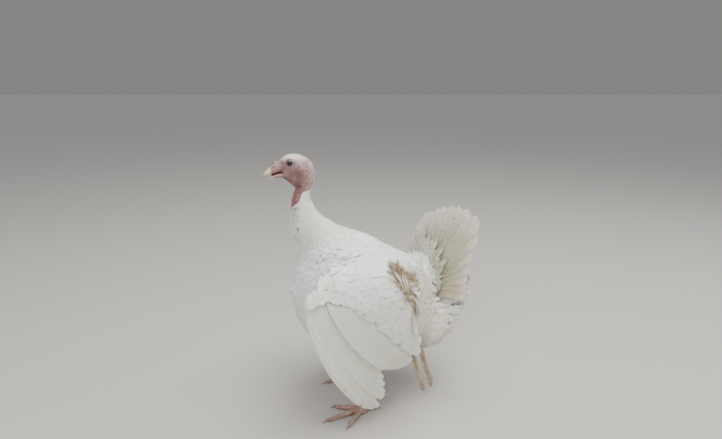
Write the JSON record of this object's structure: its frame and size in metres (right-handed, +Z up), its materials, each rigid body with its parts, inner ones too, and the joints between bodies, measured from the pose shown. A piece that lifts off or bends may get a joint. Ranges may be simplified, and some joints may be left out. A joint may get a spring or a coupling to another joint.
{
  "type": "domestic turkey figure",
  "caption": "White domestic turkey, still life-size model standing with wings drooped and tail raised in a part fan.",
  "frame": {"origin": "on the floor, below the centre of the bounding box", "axes": "+Z up; the body faces -Y; the bird's left side is +X"},
  "size_m": [0.3366, 0.4572, 0.6052],
  "materials": {
    "plumage": "soft matte white feather, slightly cream low on the body",
    "quill": "satin cream flight feather with a paler shaft",
    "tail_quill": "cream tail feather, streaked and soiled ochre-brown at its base",
    "head_skin": "bare pink to mauve skin, finely wrinkled, with pale bristles",
    "bill_horn": "satin horn, yellowish at the tip",
    "eye": "wet dark brown",
    "leg_scale": "dull pinkish-brown scales",
    "claw": "dull horn"
  },
  "bodies": {
    "root": {"bill_lower": "bill_horn", "bill_upper": "bill_horn", "claw_hind_left": "claw", "claw_hind_right": "claw", "claw_inner_left": "claw", "claw_inner_right": "claw", "claw_middle_left": "claw", "claw_middle_right": "claw", "claw_outer_left": "claw", "claw_outer_right": "claw", "eye_left": "eye", "eye_right": "eye", "flank_feather_front": "quill", "flank_feather_rear": "quill", "head": "head_skin", "neck": "plumage", "neck_upper": "head_skin", "primaries_left": "quill", "primaries_right": "quill", "secondaries_left": "quill", "secondaries_right": "quill", "shank_left": "leg_scale", "shank_right": "leg_scale", "snood": "head_skin", "tail_coverts_under": "plumage", "tail_coverts_upper": "tail_quill", "tail_rectrices": "tail_quill", "thigh_left": "plumage", "thigh_right": "plumage", "toe_hind_left": "leg_scale", "toe_hind_right": "leg_scale", "toe_inner_left": "leg_scale", "toe_inner_right": "leg_scale", "toe_middle_left": "leg_scale", "toe_middle_right": "leg_scale", "toe_outer_left": "leg_scale", "toe_outer_right": "leg_scale", "trunk": "plumage", "wing_left": "plumage", "wing_right": "plumage"}
  },
  "joints": []
}
